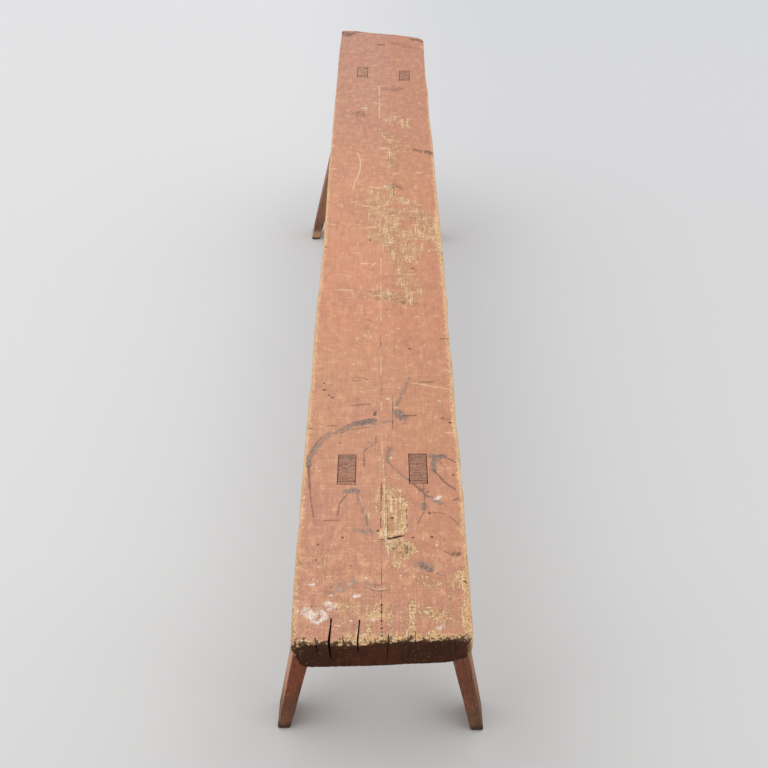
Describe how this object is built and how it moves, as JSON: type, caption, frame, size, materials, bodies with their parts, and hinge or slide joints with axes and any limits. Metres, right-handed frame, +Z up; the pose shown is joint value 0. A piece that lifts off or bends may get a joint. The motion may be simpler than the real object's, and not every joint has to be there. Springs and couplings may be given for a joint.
{
  "type": "plank bench",
  "caption": "Long rustic bench: a thick plank seat on splayed, tapering legs whose wedged tenons pass through the seat and show on its top.",
  "frame": {"origin": "on the floor, in the middle of the whole bench's length and width", "axes": "+Z up; Y along the bench, from the near end (-Y) to the far end (+Y); X across it, left (-X) to right (+X)"},
  "size_m": [0.3368, 2.386, 0.45],
  "materials": {
    "worn_painted_plank": "worn red-brown paint over old pine",
    "painted_legs": "worn red-brown paint, with bare end grain on the tenons",
    "wedge_wood": "darkened end grain, flush with the seat"
  },
  "bodies": {
    "root": {"seat_plank": "worn_painted_plank", "near_left_leg": "painted_legs", "near_right_leg": "painted_legs", "far_left_leg": "painted_legs", "far_right_leg": "painted_legs", "near_left_end_wedge": "wedge_wood", "near_left_inner_wedge": "wedge_wood", "near_right_end_wedge": "wedge_wood", "near_right_inner_wedge": "wedge_wood", "far_left_end_wedge": "wedge_wood", "far_left_inner_wedge": "wedge_wood", "far_right_end_wedge": "wedge_wood", "far_right_inner_wedge": "wedge_wood"}
  },
  "joints": []
}
